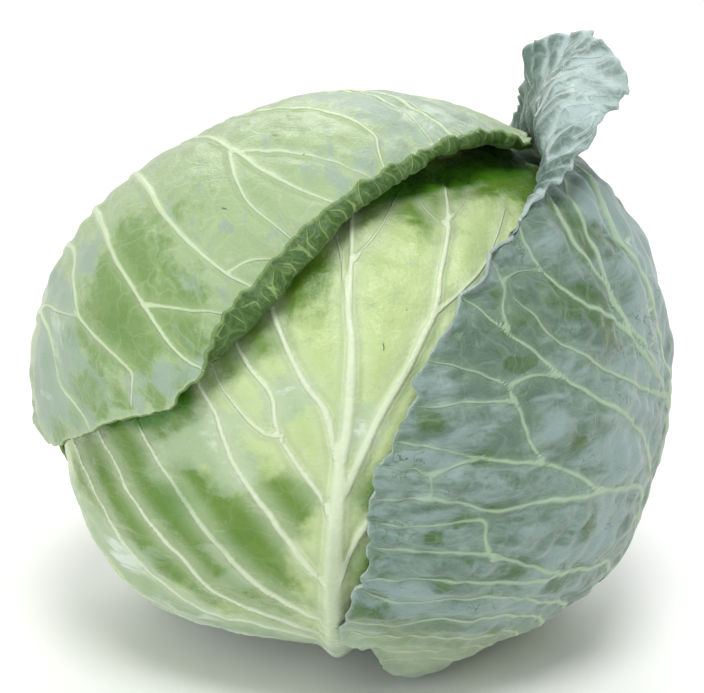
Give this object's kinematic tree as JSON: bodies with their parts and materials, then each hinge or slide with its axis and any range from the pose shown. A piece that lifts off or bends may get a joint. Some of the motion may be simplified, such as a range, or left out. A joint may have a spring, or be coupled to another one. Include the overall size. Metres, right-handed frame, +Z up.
{
  "type": "cabbage head",
  "caption": "A dense round head of white cabbage that stands on the flat cut of its short stem, with ribbed wrapper leaves folded round a solid heart and one leaf margin flaring up at the top.",
  "frame": {"origin": "on the flat cut of the stem, under the middle of the head", "axes": "Z up along the stem; the front leaf's midrib faces -Y; X across the head, toward the leaf whose margin flares up"},
  "size_m": [0.1888, 0.1807, 0.1807],
  "materials": {
    "stem": "cut, moist plant fibre",
    "heart": "smooth waxy leaf",
    "front_leaf": "smooth waxy leaf, soft gloss",
    "cap_leaf": "smooth waxy leaf with a pale bloom",
    "right_leaf": "waxy leaf with a blue-grey bloom"
  },
  "bodies": {
    "root": {"stem": "stem", "heart": "heart", "front_leaf": "front_leaf", "cap_leaf": "cap_leaf", "right_leaf": "right_leaf"}
  },
  "joints": []
}
